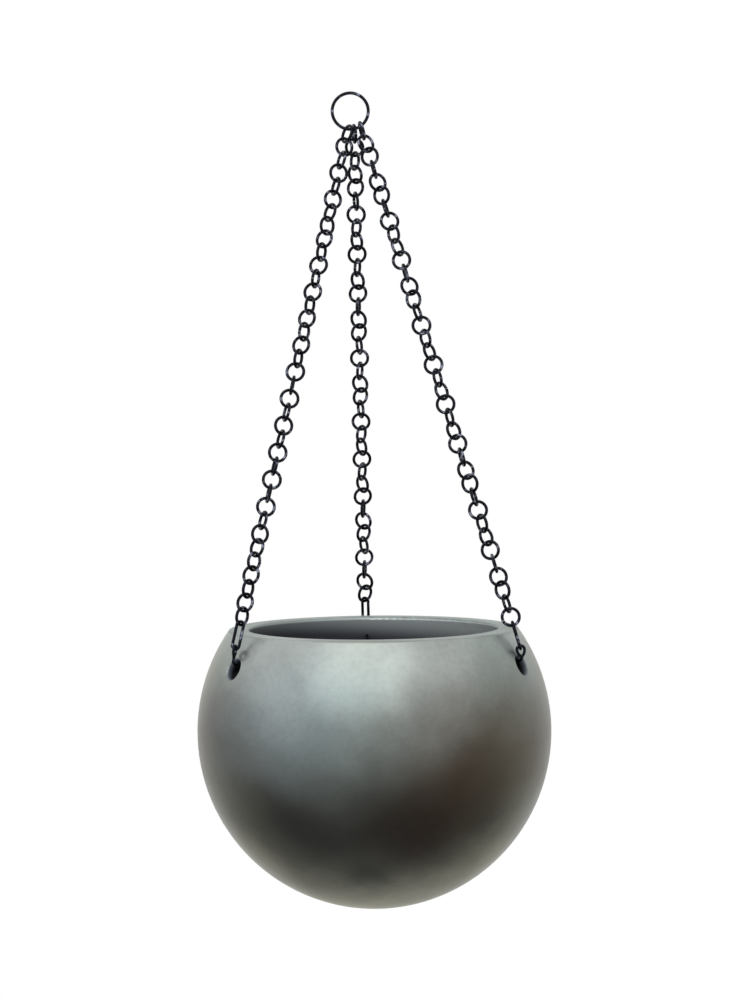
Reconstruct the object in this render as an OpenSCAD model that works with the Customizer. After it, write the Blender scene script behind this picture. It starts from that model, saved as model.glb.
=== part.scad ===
// A globe planter that hangs by three chains from one small ring.
// Millimetres, +Z up. The origin is where the ring's inner top bears on whatever holds it.
// The front is towards -Y, and a turn round the pot is measured from there, to the right.

/* [Pot] */
// Outer diameter of the globe
globe_d = 220; // [190:1:250]
// Thickness of the wall
wall = 10.5; // [8:0.5:12]
// Outer diameter of the flat lip round the mouth
lip_d = 179; // [160:1:182]
// Radius of the lip's outer edge
lip_edge_out = 1.8; // [0.8:0.1:2.5]
// Radius of the lip's inner edge
lip_edge_in = 1.2; // [0.8:0.1:1.6]
// Diameter of the flat foot under the globe
foot_d = 44; // [30:1:70]

/* [Chain holes] */
// Diameter of each hole through the wall
hole_d = 13; // [11:0.5:15]
// Way over the glaze from the lip's edge down to the middle of a hole
hole_below_lip = 22.2; // [17:0.1:34]
// Turn of the three holes round the pot, in degrees
hole_turn = 3; // [-20:0.5:20]
// Width of the slope round the edges of a hole
hole_edge = 0.8; // [0.3:0.1:1.2]

/* [Round links] */
// Outer diameter of a round link
link_d = 12.4; // [11.8:0.1:13.6]
// Diameter of the chain's wire
link_wire = 1.9; // [1.5:0.1:2]
// Play between one link and the next
link_play = 0.12; // [0.08:0.01:0.3]
// Links in the left chain
left_links = 37; // [30:1:45]
// Links in the right chain
right_links = 38; // [30:1:45]
// Links in the back chain
back_links = 37; // [30:1:45]
// Width of the butt joint where a wire's ends meet
butt_joint = 0.12; // [0.08:0.01:0.3]

/* [Twist of the chains] */
// Left chain, in degrees: first turn, turn at each link, step and start of its waver
left_twist = [-68, -86.6, 31, 143]; // [-360:0.1:360]
// Right chain, in the same order
right_twist = [-81.6, -65.4, 18, -4]; // [-360:0.1:360]
// Back chain, in the same order
back_twist = [-65.3, 67.6, 24.6, 284.8]; // [-360:0.1:360]
// How far the turns waver to either side, in degrees
waver = 14; // [0:1:16]

/* [Long links] */
// Length of the long link at the end of each chain
long_l = 18.8; // [16:0.1:24]
// Width of a long link
long_w = 6.2; // [6:0.1:8]

/* [Hooks] */
// Diameter of the hooks' wire
hook_wire = 1.8; // [1.4:0.1:1.9]
// Radius of a hook's eye, to the middle of the wire
eye_r = 2.3; // [2.3:0.1:3]
// Radius of the long curve down each side of an eye
eye_side_r = 5.4; // [4.5:0.1:8]
// Radius of the bend outside the wall, to the middle of the wire
outer_bend = 2; // [1.8:0.1:4]
// Radius of the bend inside the wall, to the middle of the wire
inner_bend = 3; // [2.4:0.1:4]
// Length of the wire's end that stands up inside the pot
tail_l = 4.5; // [3:0.5:5.5]
// Straight wire under the left hook's eye
left_shank = 2.7; // [0.2:0.1:6]
// Straight wire under the right hook's eye
right_shank = 0.2; // [0.2:0.1:6]
// Straight wire under the back hook's eye
back_shank = 5; // [0.2:0.1:8]
// How far a hook leans from the line of its hole, its outer end down, in degrees
hook_slope = 14; // [4:1:16]

/* [Hanging ring] */
// Outer diameter of the ring
ring_d = 24.3; // [23:0.1:40]
// Diameter of the ring's wire
ring_wire = 2; // [1.4:0.1:2.4]
// Play between the ring and the three top links
ring_play = 0.2; // [0.1:0.05:0.4]
// Places of the left, right and back top links along the ring, in degrees right of its lowest point
seats = [-7, 34, 12]; // [-60:1:60]

/* [Hidden] */
$fn = 48;
// Clearance between a hook and the top edge of its hole
hook_play = 0.15;
// Turns about the chain's line of the long links and of the hooks' eyes, where 0 faces the front
long_turns = [-16, 90, -28];
eye_turns = [74, 0, 57];
// Where the ring's wire ends meet, round the ring from the right
ring_joint_at = 125;
// The nodes of one chain, each of which holds about three links
runs = 12;
// How far the outer bend starts below the wall's surface, and the inner one beyond it
bend_in_hole = 0.5;
bend_past_wall = 1;
// How much wider than the wire the closed point of an eye is
closing = 1.2;
// How far a cut runs past what it cuts
past = 1;

sides = ["left", "right", "back"];
azimuths = [hole_turn - 60, hole_turn + 60, hole_turn + 180];
counts = [left_links, right_links, back_links];
shanks = [left_shank, right_shank, back_shank];
twists = [left_twist, right_twist, back_twist];

// The pot's section, about the globe's middle: +X outwards, +Y up
globe_r = globe_d / 2;
inner_r = globe_r - wall;
lip_z = sqrt(pow(globe_r, 2) - pow(lip_d / 2, 2));
// The holes' middles stand this many degrees above the globe's middle
hole_lat = asin(lip_z / globe_r) - hole_below_lip / globe_r * 180 / PI;
foot_z = -sqrt(pow(globe_r, 2) - pow(foot_d / 2, 2));
// The inside floor is flat over the foot
floor_r = sqrt(pow(inner_r, 2) - pow(foot_z + wall, 2));
// Middles of the lip's rounded edges, which touch the outer or inner surface and the flat
edge_out = [sqrt(pow(globe_r - lip_edge_out, 2) - pow(lip_z - lip_edge_out, 2)), lip_z - lip_edge_out];
edge_in = [sqrt(pow(inner_r + lip_edge_in, 2) - pow(lip_z - lip_edge_in, 2)), lip_z - lip_edge_in];
// Where those edges meet the two surfaces
touch_out = edge_out * globe_r / (globe_r - lip_edge_out);
touch_in = edge_in * inner_r / (inner_r + lip_edge_in);

// Middle of the wire in each kind of link, and the step from link to link
link_r = (link_d - link_wire) / 2;
link_pitch = 2 * link_r - link_wire - link_play;
long_r = (long_w - link_wire) / 2;
long_half = (long_l - link_wire) / 2;
ring_r = (ring_d - ring_wire) / 2;

// Distances along a chain, from its seat on the ring down
first_drop = link_r - link_wire / 2 - ring_wire / 2 - ring_play;
to_long = link_r + long_half - link_wire - link_play;
long_to_eye = long_half + eye_r - hook_wire / 2 - link_wire / 2 - link_play;

// A hook lies in the upright plane through its hole: +X outwards, +Y up, from the globe's middle
hook_angle = hole_lat - hook_slope;
hook_out = [cos(hook_angle), sin(hook_angle)];
hook_up = [-sin(hook_angle), cos(hook_angle)];
// The wire passes just under the inner end of the hole's top, at s along the hole's line and t above it
edge_s = sqrt(pow(inner_r, 2) - pow(hole_d / 2, 2));
edge_t = hole_d / 2 - (hook_wire / 2 + hook_play) / cos(hook_slope);
outer_s = globe_r - bend_in_hole;
outer_t = edge_t - (outer_s - edge_s) * tan(hook_slope);
// The outer end of the hook's straight run, and the run's length to a hundredth
hook_at = outer_s * [cos(hole_lat), sin(hole_lat)] + outer_t * [-sin(hole_lat), cos(hole_lat)];
run_l = round(100 * (outer_s - edge_s + bend_past_wall) / cos(hook_slope)) / 100;
// How far the eye's middle stands over the point where its wire closes
eye_rise = sqrt(2 * eye_side_r * eye_r - pow(eye_r, 2));

// The same places in space, about the globe's middle
function in_space(azimuth, p) = [p.x * sin(azimuth), -p.x * cos(azimuth), p.y];
eyes = [for (k = [0:2])
    in_space(azimuths[k], hook_at + outer_bend * hook_out + (outer_bend + shanks[k] + eye_rise) * hook_up)];
seat_offsets = [for (a = seats) ring_r * [sin(a), 0, -cos(a)]];
lengths = [for (n = counts) first_drop + (n - 1) * link_pitch + to_long + long_to_eye];

// The point over a, b and c that lies at the distances ra, rb and rc from them
function meeting(a, b, c, ra, rb, rc) =
    let (
        d = norm(b - a),
        ex = (b - a) / d,
        i = ex * (c - a),
        j = norm(c - a - i * ex),
        ey = (c - a - i * ex) / j,
        ez = cross(ex, ey),
        x = (ra * ra - rb * rb + d * d) / (2 * d),
        y = (ra * ra - rc * rc + i * i + j * j) / (2 * j) - x * i / j,
        z = sqrt(ra * ra - x * x - y * y)
    )
    a + x * ex + y * ey + (ez.z > 0 ? z : -z) * ez;

// The three taut chains settle where the ring hangs over the pot
starts = [for (k = [0:2]) eyes[k] - seat_offsets[k]];
ring_over_pot = meeting(starts[0], starts[1], starts[2], lengths[0], lengths[1], lengths[2]);
ring_at = [0, 0, ring_wire / 2 - ring_r];
pot_at = ring_at - ring_over_pot;
function seat(k) = ring_at + seat_offsets[k];
// A chain's line points up, to its seat on the ring, and a drop is measured down from there
function chain_line(k) = (seat(k) - pot_at - eyes[k]) / norm(seat(k) - pot_at - eyes[k]);
function on_chain(k, drop) = seat(k) - drop * chain_line(k);
function link_turn(k, i) =
    let (t = twists[k])
    t[0] + t[1] * i + waver * sin(t[2] * i + t[3]);

pot_colour = "#7b807c";
metal_colour = "#26282e";

// Part of a ring of wire in the upright XZ plane, from one angle to another
module wire_arc(r, wire, from, to) {
    rotate([90, 0, 0])
        rotate([0, 0, from])
            rotate_extrude(angle = to - from)
                translate([r, 0])
                    circle(d = wire);
}

// A whole ring of wire whose ends butt together at the given angle
module butted_ring(r, wire, joint_at) {
    slit = butt_joint / r * 180 / PI;
    wire_arc(r, wire, joint_at + slit / 2, joint_at + 360 - slit / 2);
}

// A straight wire in the XZ plane, from a point, at an angle up from +X
module rod(p, angle, length, wire) {
    translate([p.x, 0, p.y])
        rotate([0, 90 - angle, 0])
            cylinder(h = length, d = wire);
}

// Puts what stands along Z at a point, along a rising line, turned about it from the front
module along(point, line, turn) {
    azimuth = atan2(line.y, line.x);
    translate(point)
        rotate([0, acos(line.z), azimuth])
            rotate([0, 0, turn - azimuth])
                children();
}

// Stands the XZ plane through the pot's middle and one hole
module at_hole(k) {
    translate(pot_at)
        rotate([0, 0, azimuths[k] - 90])
            children();
}

// The wall cut through from middle to lip, with the lip's two rounded edges
module pot_section() {
    difference() {
        circle(r = globe_r, $fn = 180);
        circle(r = inner_r, $fn = 180);
        polygon([
            touch_in - past * [wall, 0], touch_in, touch_out, touch_out + past * [wall, 0],
            [globe_r, globe_r + past], [-past, globe_r + past], [-past, touch_in.y]
        ]);
        translate([-globe_d, -globe_d])
            square([globe_d, 2 * globe_d]);
        translate([-past, -globe_r - past])
            square([globe_r, foot_z + globe_r + past]);
    }
    translate([0, foot_z])
        square([floor_r, wall]);
    polygon([
        touch_out, edge_out + [0, lip_edge_out], edge_in + [0, lip_edge_in], touch_in, edge_in, edge_out
    ]);
    translate(edge_out)
        circle(r = lip_edge_out);
    translate(edge_in)
        circle(r = lip_edge_in);
}

// A round hole square to the wall, a little wider at both surfaces
module chain_hole() {
    hole_r = hole_d / 2;
    rim_s = sqrt(pow(globe_r, 2) - pow(hole_r, 2));
    slope = hole_edge + past;
    rotate([0, 90 - hole_lat, 0]) {
        translate([0, 0, edge_s - past])
            cylinder(h = rim_s - edge_s + 2 * past, d = hole_d);
        translate([0, 0, rim_s - hole_edge])
            cylinder(h = slope, r1 = hole_r, r2 = hole_r + slope);
        translate([0, 0, edge_s - past])
            cylinder(h = slope, r1 = hole_r + slope, r2 = hole_r);
    }
}

module globe_pot() {
    color(pot_colour)
        difference() {
            translate(pot_at)
                rotate_extrude($fn = 180)
                    pot_section();
            for (k = [0:2])
                at_hole(k)
                    chain_hole();
        }
}

module hanging_ring() {
    color(metal_colour)
        translate(ring_at)
            butted_ring(ring_r, ring_wire, ring_joint_at);
}

// One chain's links from the top down, those of one run
module chain_run(k, run) {
    first = floor(run * counts[k] / runs);
    last = floor((run + 1) * counts[k] / runs) - 1;
    color(metal_colour)
        for (i = [first:last])
            along(on_chain(k, first_drop + i * link_pitch), chain_line(k), link_turn(k, i))
                butted_ring(link_r, link_wire, i % 2 * 180 + 12);
}

// An oval link: two half rings with straight wires between them
module long_link(k) {
    drop = first_drop + (counts[k] - 1) * link_pitch + to_long;
    straight = long_half - long_r;
    color(metal_colour)
        along(on_chain(k, drop), chain_line(k), long_turns[k]) {
            translate([0, 0, straight])
                wire_arc(long_r, link_wire, 0, 180);
            translate([0, 0, -straight])
                wire_arc(long_r, link_wire, 180, 360);
            for (x = [-long_r, long_r])
                rod([x, -straight], 90, 2 * straight, link_wire);
        }
}

// A closed eye like a drop: its point is at the origin, its round end up
module eye() {
    side_sweep = acos(1 - eye_r / eye_side_r);
    translate([0, 0, eye_rise]) {
        wire_arc(eye_r, hook_wire, 0, 180);
        for (side = [0, 1])
            mirror([side, 0, 0])
                mirror([0, 0, 1])
                    translate([eye_r - eye_side_r, 0, 0])
                        wire_arc(eye_side_r, hook_wire, 0, side_sweep);
    }
    sphere(d = hook_wire * closing);
}

// A hook stands up inside the wall, goes out through the hole and rises to its eye.
// It is drawn from the outer end of its straight run, with that run along +X
module hook(k) {
    color(metal_colour)
        at_hole(k)
            translate([hook_at.x, 0, hook_at.y])
                rotate([0, -hook_angle, 0]) {
                    rod([-run_l - inner_bend, inner_bend], 90, tail_l, hook_wire);
                    translate([-run_l, 0, inner_bend])
                        wire_arc(inner_bend, hook_wire, -180, -90);
                    rod([-run_l, 0], 0, run_l, hook_wire);
                    translate([0, 0, outer_bend])
                        wire_arc(outer_bend, hook_wire, -90, 0);
                    rod([outer_bend, outer_bend], 90, shanks[k], hook_wire);
                    translate([outer_bend, 0, outer_bend + shanks[k]])
                        rotate([0, 0, eye_turns[k] - azimuths[k] + 90])
                            eye();
                }
}

globe_pot();
hanging_ring();
for (k = [0:2]) {
    hook(k);
    long_link(k);
    for (r = [1:runs])
        chain_run(k, r - 1);
}
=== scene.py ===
# %% [markdown]
# # A globe planter on three chains
# A satin glazed ball of a pot hangs by three fine black chains from one small ring.
# The solids were drawn in CAD and are already in their places, so this lesson is about
# what Blender adds: the camera, plain studio light, and a finish for the glaze and the wire.

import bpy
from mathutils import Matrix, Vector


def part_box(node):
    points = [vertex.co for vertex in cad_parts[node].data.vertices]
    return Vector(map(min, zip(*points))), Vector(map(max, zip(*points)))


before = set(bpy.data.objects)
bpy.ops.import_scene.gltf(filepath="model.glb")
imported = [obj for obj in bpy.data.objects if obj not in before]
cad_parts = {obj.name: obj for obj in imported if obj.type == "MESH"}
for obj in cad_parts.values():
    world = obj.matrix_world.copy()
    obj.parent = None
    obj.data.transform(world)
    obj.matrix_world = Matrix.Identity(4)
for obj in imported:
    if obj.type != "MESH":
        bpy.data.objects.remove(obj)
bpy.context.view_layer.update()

# %% The tools of this lesson
import math

import bpy
from mathutils import Matrix, Vector

# %% [markdown]
# ## Where the pot is
# Every finish on the pot is laid out from the middle of its globe, so that the clouds in the
# glaze stay where they are when the pot swings. The globe is round, so half its width in X is
# its radius. It stands on a small flat foot, so its middle is a little less than that above it.

# %% The globe's middle and radius
low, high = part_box("globe_pot")
globe_r = (high.x - low.x) / 2
foot_r = 0.022
middle_z = low.z + math.sqrt(globe_r ** 2 - foot_r ** 2)
globe_middle = Vector(((low.x + high.x) / 2, (low.y + high.y) / 2, middle_z))
lip_up = (high.z - middle_z) / globe_r
print("globe middle", [round(c * 1000, 1) for c in globe_middle], "mm")
print(f"globe radius {globe_r * 1000:.1f} mm, the lip at {lip_up:.3f} of it above the middle")

# %% [markdown]
# ## The camera
# The camera stands about one and a half metres away, level with a point just below the middle
# of the chains, and looks slightly down. A long lens keeps the circle of the pot round. Placing
# the camera by measured numbers rather than by eye means that each chain crosses the picture
# where the real one does. It is set up before any finish, because every later choice is judged
# through it.

# %% A camera from its place and two small turns
def look(place, pitch, roll):
    """The camera's matrix: level and facing +Y, then tipped by pitch and rolled, in radians."""
    level = Matrix.Rotation(math.pi / 2 + pitch, 4, "X")
    return Matrix.Translation(place) @ level @ Matrix.Rotation(roll, 4, "Z")


picture_h = 1000
focal_px = 2482.7
camera_place = Vector((0.0130, -1.5417, -0.1910))
camera_pitch = math.radians(-2.216)
camera_roll = math.radians(-0.552)
lens_data = bpy.data.cameras.new("photo_camera")
lens_data.sensor_fit = "VERTICAL"
lens_data.sensor_height = lens_data.sensor_width = 36
lens_data.lens = focal_px / picture_h * lens_data.sensor_height
camera = bpy.data.objects.new("photo_camera", lens_data)
camera.matrix_world = look(camera_place, camera_pitch, camera_roll)
bpy.context.scene.collection.objects.link(camera)
bpy.context.scene.camera = camera
bpy.context.scene.view_settings.view_transform = "Standard"
print(f"lens {lens_data.lens:.1f} mm, {-camera_place.y:.2f} m in front of the ring")

# %% [markdown]
# ## Shader sums that read like Python
# A finish needs small sums such as "one minus the mask, times a half". Each would be a Math
# node dragged in by hand. One class wraps a socket and gives it Python's own operators, so a
# sum on it adds its Math nodes. The reflected forms, such as `1 - mask`, matter as much as the
# plain ones. Every other node comes from the one method `node`, which sets the settings first,
# because some settings change which sockets a node has.

# %% A socket with operators
class Socket:
    """An output of a node that can be used in sums. Without an output it is just the tree."""

    def __init__(self, tree, output=None):
        self.tree, self.output = tree, output

    def feed(self, target, value):
        if isinstance(value, Socket):
            self.tree.links.new(value.output, target)
        else:
            target.default_value = value

    def node(self, kind, settings=None, sockets=None, output=0):
        made = self.tree.nodes.new(kind)
        for name, value in (settings or {}).items():
            if name == "stops":
                set_stops(made.color_ramp, value)
            else:
                setattr(made, name, value)
        for name, value in (sockets or {}).items():
            self.feed(made.inputs[name], value)
        return Socket(self.tree, made.outputs[output])

    def maths(self, operation, first, second=0.0):
        return self.node("ShaderNodeMath", {"operation": operation}, {0: first, 1: second})

    def __add__(self, other):
        return self.maths("ADD", self, other)

    def __sub__(self, other):
        return self.maths("SUBTRACT", self, other)

    def __rsub__(self, other):
        return self.maths("SUBTRACT", other, self)

    def __mul__(self, other):
        return self.maths("MULTIPLY", self, other)

    __radd__ = __add__
    __rmul__ = __mul__

    def at_most(self, other):
        return self.maths("MINIMUM", self, other)

    def at_least(self, other):
        return self.maths("MAXIMUM", self, other)


def set_stops(ramp, stops):
    """Gives a colour ramp exactly these (place, colour) stops."""
    while len(ramp.elements) > 1:
        ramp.elements.remove(ramp.elements[-1])
    for i, (place, colour) in enumerate(stops):
        stop = ramp.elements[0] if i == 0 else ramp.elements.new(place)
        stop.position = place
        stop.color = (*colour, 1)


print("shader sums are ready")

# %% [markdown]
# ## A blank material
# Each finish starts as a Principled shader. What is the same all over goes straight onto the
# shader's own sockets, since the export would drop it behind a node.

# %% A material with its constants set
def blank_finish(name, **constants):
    """A new material: its tree as a Socket, and its Principled shader's inputs."""
    material = bpy.data.materials.new(name)
    material.use_nodes = True
    shader = material.node_tree.nodes["Principled BSDF"]
    for socket, value in constants.items():
        shader.inputs[socket.replace("_", " ")].default_value = value
    return material, Socket(material.node_tree), shader.inputs


def mix_colours(tree, factor, first, second):
    """Blends two colours; the Mix node keeps them as colours."""
    colours = [c if isinstance(c, Socket) else (*c, 1) for c in (first, second)]
    return tree.node(
        "ShaderNodeMix", {"data_type": "RGBA"}, {0: factor, 6: colours[0], 7: colours[1]}, 2
    )


print("blank finishes can be made")

# %% [markdown]
# ## The glaze's own coordinates
# The clouds of a glaze follow the ball, so the texture space is the globe itself: zero at its
# middle and one at its surface. Object coordinates are the CAD frame's metres here, so a
# subtraction and a scale are enough, and nothing slides when the camera or the pot moves.

# %% Globe coordinates
def vector_maths(tree, operation, sockets, output="Vector"):
    """One Vector Math node. Lengths, distances and dot products come out at its Value."""
    return tree.node("ShaderNodeVectorMath", {"operation": operation}, sockets, output)


def globe_space(tree):
    """Object coordinates with the globe's middle at zero and its surface at one."""
    metres = tree.node("ShaderNodeTexCoord", output="Object")
    centred = vector_maths(tree, "SUBTRACT", {0: metres, 1: tuple(globe_middle)})
    return vector_maths(tree, "SCALE", {0: centred, "Scale": 1 / globe_r})


def clouds(tree, space, scale, detail=3, roughness=0.5):
    """Soft noise from 0 to 1."""
    return tree.node(
        "ShaderNodeTexNoise",
        {"noise_dimensions": "3D"},
        {"Vector": space, "Scale": scale, "Detail": detail, "Roughness": roughness},
    )


def billowed(tree, space, scale, reach):
    """The same coordinates, each pushed aside by soft noise, by its reach at most."""
    sockets = {"Vector": space, "Scale": scale, "Detail": 4}
    noise = tree.node("ShaderNodeTexNoise", sockets=sockets, output="Color")
    centred = vector_maths(tree, "SUBTRACT", {0: noise, 1: (0.5, 0.5, 0.5)})
    return vector_maths(tree, "MULTIPLY_ADD", {0: centred, 1: (2 * reach,) * 3, 2: space})


def smooth_step(tree, value, start, end):
    """0 before start, 1 after end, and a soft slope between."""
    return tree.node(
        "ShaderNodeMapRange",
        {"interpolation_type": "SMOOTHSTEP"},
        {"Value": value, "From Min": start, "From Max": end},
    )


def patch(tree, space, towards, reach):
    """A round cloud on the globe: 1 at its middle, 0 at its reach."""
    middle = Vector(towards).normalized()
    away = vector_maths(tree, "DISTANCE", {0: space, 1: tuple(middle)}, "Value")
    return 1 - smooth_step(tree, away, 0, reach)


print("globe space runs from 0 at the middle to 1 at the glaze")

# %% [markdown]
# ## The glaze
# The real glaze is a satin, half metallic grey. Its colour here carries painted light as well:
# a painted highlight of the softbox makes the shoulder pale and cool, a painted dark reflection
# makes the front of the belly a warm near black, and a painted reflection of the white room
# lightens it to a beige grey under the globe and towards the sides. That is a slow change with
# height and a few wide clouds, so it is made from a height ramp and round patches laid over it
# one by one. Both are bent by soft noise, because a glaze that ran in the kiln has no straight
# edge. A picture wrapped round the pot would give the same look from the front alone, but this
# holds from every side. A faint mottle and a fine speckle of dark grey keep the wide clouds from
# looking sprayed on.

# %% The colour of the glaze outside
GLAZE_TINTS_AND_PAINTED_LIGHT = [
    # Each has the way it lies from the middle, its reach, its strength and its colour
    # Painted highlight: these four put the softbox's shine on the shoulder into the colour
    ((-0.20, -0.86, 0.47), 0.92, 0.99, (0.43, 0.43, 0.39)),  # the pale shoulder
    ((-0.50, -0.76, 0.40), 0.52, 0.50, (0.53, 0.59, 0.61)),  # its cool left side
    ((0.20, -0.95, 0.22), 0.50, 0.60, (0.45, 0.46, 0.44)),  # where it runs down to the right
    ((0.38, -0.78, 0.48), 0.32, 0.40, (0.50, 0.52, 0.51)),  # its right side by the lip
    # Painted reflection: these four put the dark below the pot and the grey room on the belly
    ((-0.32, -0.84, -0.43), 0.80, 0.98, (0.012, 0.012, 0.016)),  # the near black belly, left
    ((-0.12, -0.97, -0.23), 0.62, 0.98, (0.07, 0.07, 0.06)),  # the lighter belly between
    ((0.26, -0.88, -0.40), 0.75, 0.98, (0.012, 0.013, 0.015)),  # the near black belly, right
    ((-0.10, -0.95, 0.29), 0.75, 0.90, (0.205, 0.245, 0.235)),  # the grey over the belly
    ((0.40, -0.90, -0.19), 0.72, 0.66, (0.053, 0.034, 0.021)),  # the brown cloud
    ((-0.78, -0.60, 0.06), 0.48, 0.45, (0.10, 0.13, 0.145)),  # a blue one, far left
    ((-0.46, -0.87, 0.14), 0.52, 0.30, (0.20, 0.28, 0.33)),  # a blue one beside it
    # Painted reflection: the darkest part, under the belly
    ((-0.03, -0.71, -0.70), 0.23, 0.70, (0.02, 0.02, 0.02)),  # the dark tip under the belly
    ((0.83, -0.24, -0.50), 0.34, 0.60, (0.11, 0.11, 0.09)),  # a dull patch, low right
    ((-0.93, -0.10, 0.36), 0.36, 0.50, (0.26, 0.24, 0.16)),  # olive, high left
    ((0.93, -0.08, 0.36), 0.38, 0.75, (0.16, 0.15, 0.10)),  # olive, high right
]
glaze, tree, shader = blank_finish("satin_glaze", IOR=1.3)
space = globe_space(tree)
bent = billowed(tree, space, scale=2.6, reach=0.13)
height = tree.node("ShaderNodeSeparateXYZ", sockets={"Vector": bent}, output="Z")
# The ramp is painted light: a highlight at the top, a dark reflection low on the front, and a
# paler reflection of the white room at the bottom
colour = tree.node(
    "ShaderNodeValToRGB",
    {"stops": [
        (0.0, (0.45, 0.44, 0.32)),
        (0.1, (0.35, 0.35, 0.28)),
        (0.2, (0.28, 0.275, 0.21)),
        (0.3, (0.13, 0.13, 0.10)),
        (0.4, (0.085, 0.08, 0.055)),
        (0.5, (0.095, 0.087, 0.065)),
        (0.6, (0.15, 0.15, 0.13)),
        (0.7, (0.22, 0.245, 0.225)),
        (0.8, (0.33, 0.375, 0.355)),
    ]},
    {"Fac": height * 0.5 + 0.5},
)
for towards, reach, strength, patch_colour in GLAZE_TINTS_AND_PAINTED_LIGHT:
    cloud = patch(tree, bent, towards, reach) * strength
    colour = mix_colours(tree, cloud, colour, patch_colour)
mottle = smooth_step(tree, clouds(tree, bent, scale=6, detail=4), 0.4, 0.7)
fine_noise = clouds(tree, space, scale=34, detail=4, roughness=0.7)
speckle = smooth_step(tree, fine_noise, 0.4, 0.7)
soot = (0.05, 0.05, 0.05)
colour = mix_colours(tree, (mottle + speckle) * 0.1, colour, soot)
print("glaze outside:", len(GLAZE_TINTS_AND_PAINTED_LIGHT), "clouds over a height ramp")

# %% [markdown]
# ## Inside the pot and in its holes
# Little light reaches the inside, and its glaze is thinner, bluer and less metallic. The light
# that falls just under the lip, a little more on the right, is painted into its colour as a pale
# blue. The three holes are a third of a turn apart and 24 degrees up from the globe's middle.
# Their walls are painted dark as shade, with a paler painted lit rim at the outer edge. Distance
# from the globe's middle tells inside from outside, and distance from a hole's own line tells
# its wall from the rest. Both are in globe radii, like the space.

# %% The inside
wall = 0.0105
inner_r = 1 - wall / globe_r
from_middle = vector_maths(tree, "LENGTH", {0: space}, "Value")
inside = 1 - smooth_step(tree, from_middle, inner_r + 0.001, inner_r + 0.0065)
upright = tree.node("ShaderNodeSeparateXYZ", sockets={"Vector": space}, output="Z")
rightward = tree.node("ShaderNodeSeparateXYZ", sockets={"Vector": space}, output="X")
# Painted light: the pale blue just under the lip stands in for light falling there
painted_lip_light = smooth_step(tree, upright + rightward * 0.07, lip_up - 0.141, lip_up + 0.009)
deep_blue = (0.10, 0.105, 0.125)
painted_light_blue = (0.88, 0.95, 0.95)
inner_colour = mix_colours(tree, painted_lip_light, deep_blue, painted_light_blue)
colour = mix_colours(tree, inside, colour, inner_colour)
print(f"the inside begins at {inner_r:.3f} of the globe's radius")

# %% The three holes
hole_r = 0.0065 / globe_r
hole_up = math.radians(24)
hole_turns = (-57, 63, 183)
holes = 0.0
for turn in hole_turns:
    side = math.radians(turn)
    towards = Vector((math.sin(side), -math.cos(side), math.tan(hole_up))).normalized()
    line = tuple(towards)
    across = vector_maths(tree, "CROSS_PRODUCT", {0: space, 1: line})
    off_line = vector_maths(tree, "LENGTH", {0: across}, "Value")
    ahead = vector_maths(tree, "DOT_PRODUCT", {0: space, 1: line}, "Value")
    near_line = 1 - smooth_step(tree, off_line, hole_r, hole_r + 0.008)
    holes = near_line * smooth_step(tree, ahead, 0.5, 0.6) + holes
# Painted shade darkens the hole walls, and a painted lit rim makes their outer edge paler
hole_painted_shade = (0.006, 0.006, 0.009)
hole_painted_rim_light = (0.19, 0.215, 0.25)
outer_edge = smooth_step(tree, from_middle, 0.96, 1.0)
hole_painted_colour = mix_colours(tree, outer_edge, hole_painted_shade, hole_painted_rim_light)
colour = mix_colours(tree, holes, colour, hole_painted_colour)
tree.feed(shader["Base Color"], colour)
print("glaze colours:", len(tree.tree.nodes), "nodes for", len(hole_turns), "holes and the rest")

# %% [markdown]
# ## How the glaze shines
# The glaze has the broad soft shine of satin, half way to metal. The flat lip shows no sharp
# line of light in the photo, so it is duller. Inside and in the holes the metal look fades. The
# same masks serve again here, so each change of shine falls just where its colour changes.

# %% The sheen and the grain of the glaze
thin = inside.at_least(holes)
lip = smooth_step(tree, upright, lip_up - 0.015, lip_up - 0.003)
tree.feed(shader["Metallic"], 0.75 - thin * 0.7)
dullness = clouds(tree, space, scale=7) * 0.08 + thin * 0.2 + lip * 0.22
tree.feed(shader["Roughness"], 0.31 + dullness)
grain = clouds(tree, space, scale=120)
bump = tree.node("ShaderNodeBump", sockets={"Strength": 0.1, "Distance": 0.0005, "Height": grain})
tree.feed(shader["Normal"], bump)
print("the glaze is satin with a fine grain")

# %% [markdown]
# ## The wire
# Ring, links and hooks are steel wire with a thin black finish. It is nearly black, with small
# cool glints of light. Black paint alone would look flat here. A dark metal catches the white
# room along each bend, and a fine noise paints small patches of brighter bluish metal into its
# colour as painted glints.

# %% The black wire
wire, tree, shader = blank_finish("black_wire", Metallic=1.0)
place = tree.node("ShaderNodeTexCoord", output="Object")
# Painted glints: brighter patches of metal in random places stand in for the softbox's glints
painted_glints = smooth_step(tree, clouds(tree, place, scale=280, detail=2), 0.55, 0.70)
wire_black = (0.010, 0.011, 0.015)
painted_glint_steel = (0.17, 0.18, 0.235)
tree.feed(shader["Base Color"], mix_colours(tree, painted_glints, wire_black, painted_glint_steel))
tree.feed(shader["Roughness"], 0.30 + clouds(tree, place, scale=900, detail=2) * 0.16)
print("black wire finish made")

# %% Every CAD node gets its finish
for name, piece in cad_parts.items():
    piece.data.materials.clear()
    piece.data.materials.append(glaze if name == "globe_pot" else wire)
print("finished nodes:", len(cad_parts))

# %% [markdown]
# ## The floor
# The planter hangs, so the floor is well below it and outside the picture. It still matters:
# it lights the underside and shows in the glaze. It is one plain pale sheet whose far part
# turns to the same white as the room, so that no edge or horizon shows from other angles. It is
# low enough that a camera that looks up at the pot stays above it.

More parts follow.
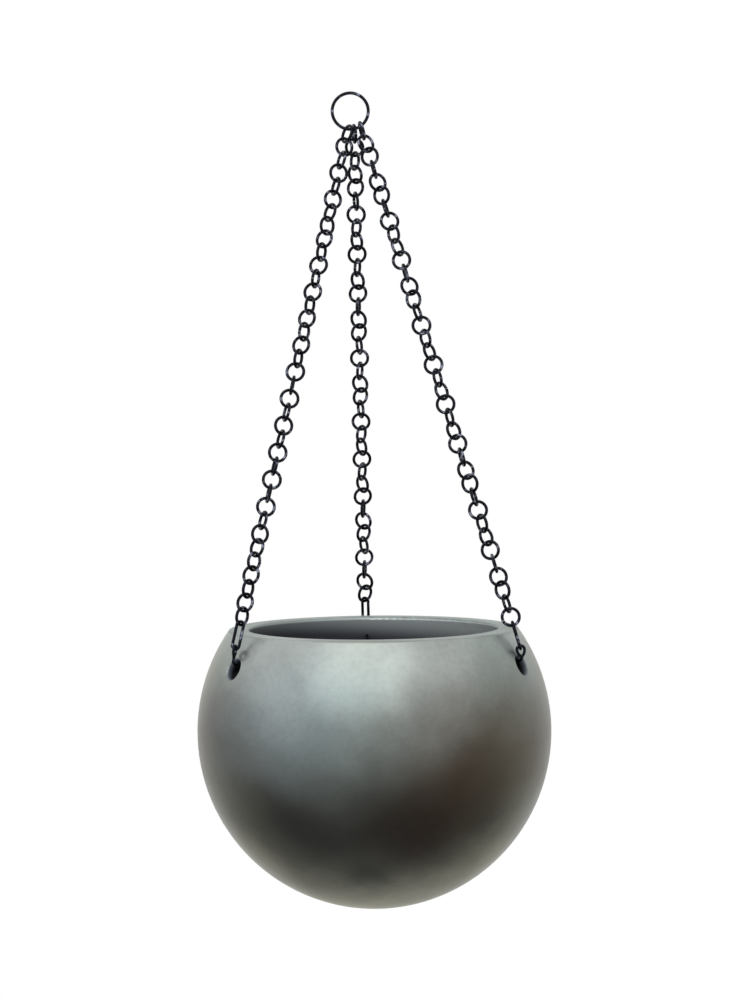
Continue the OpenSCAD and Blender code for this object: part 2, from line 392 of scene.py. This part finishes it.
# %% A pale floor
floor_drop = 1.8
floor_z = globe_middle.z - floor_drop
floor_half = 6.0
fade_end = 2.9 * floor_drop
sides = [(-1, -1), (1, -1), (1, 1), (-1, 1)]
corners = [(x * floor_half, y * floor_half, floor_z) for x, y in sides]
floor_mesh = bpy.data.meshes.new("floor")
floor_mesh.from_pydata(corners, [], [(0, 1, 2, 3)])
floor = bpy.data.objects.new("floor", floor_mesh)
bpy.context.scene.collection.objects.link(floor)

pale, tree, _ = blank_finish("pale_floor", Base_Color=(0.86, 0.86, 0.84, 1), Roughness=0.9)
metres = tree.node("ShaderNodeTexCoord", output="Object")
flat = vector_maths(tree, "MULTIPLY", {0: metres, 1: (1, 1, 0)})
out = vector_maths(tree, "LENGTH", {0: flat}, "Value")
far = smooth_step(tree, out, floor_drop, fade_end)
white = tree.node("ShaderNodeEmission", sockets={"Color": (1, 1, 1, 1), "Strength": 1.0})
floor_shader = Socket(tree.tree, tree.tree.nodes["Principled BSDF"].outputs[0])
blended = tree.node("ShaderNodeMixShader", sockets={0: far, 1: floor_shader, 2: white})
tree.feed(tree.tree.nodes["Material Output"].inputs["Surface"], blended)
floor_mesh.materials.append(pale)
print(f"floor {low.z - floor_z:.2f} m under the pot")

# %% [markdown]
# ## Plain soft studio light
# One large softbox hangs over the front, as the broad pale band across the shoulder shows.
# The room itself is white: what the camera or a shiny surface sees of it is exactly white, and
# what it adds as light is a little less, so that the chains and the belly keep their contrast.

# %% The softbox
from_pot = Vector((-0.2, -1.1, 1.05))
light = bpy.data.lights.new("top_softbox", "AREA")
light.shape = "RECTANGLE"
light.size = 1.6
light.size_y = 1.3
light.energy = 13
light.color = (0.97, 0.99, 1.0)
softbox = bpy.data.objects.new("top_softbox", light)
softbox.location = globe_middle + from_pot
softbox.rotation_euler = (-from_pot).to_track_quat("-Z", "Y").to_euler()
bpy.context.scene.collection.objects.link(softbox)
print(f"softbox of {light.energy:.0f} watts, {from_pot.length:.2f} m from the pot's middle")

# %% The white room
world = bpy.data.worlds.new("white_room")
bpy.context.scene.world = world
world.use_nodes = True
room = Socket(world.node_tree)
seen = room.node("ShaderNodeLightPath", output="Is Camera Ray")
glossy = room.node("ShaderNodeLightPath", output="Is Glossy Ray")
through = room.node("ShaderNodeLightPath", output="Is Transmission Ray")
shown = (seen + glossy + through).at_most(1)
room_light = 0.5
backing = world.node_tree.nodes["Background"]
backing.inputs["Color"].default_value = (1, 1, 1, 1)
room.feed(backing.inputs["Strength"], room_light + shown * (1 - room_light))
print("room light", room_light)
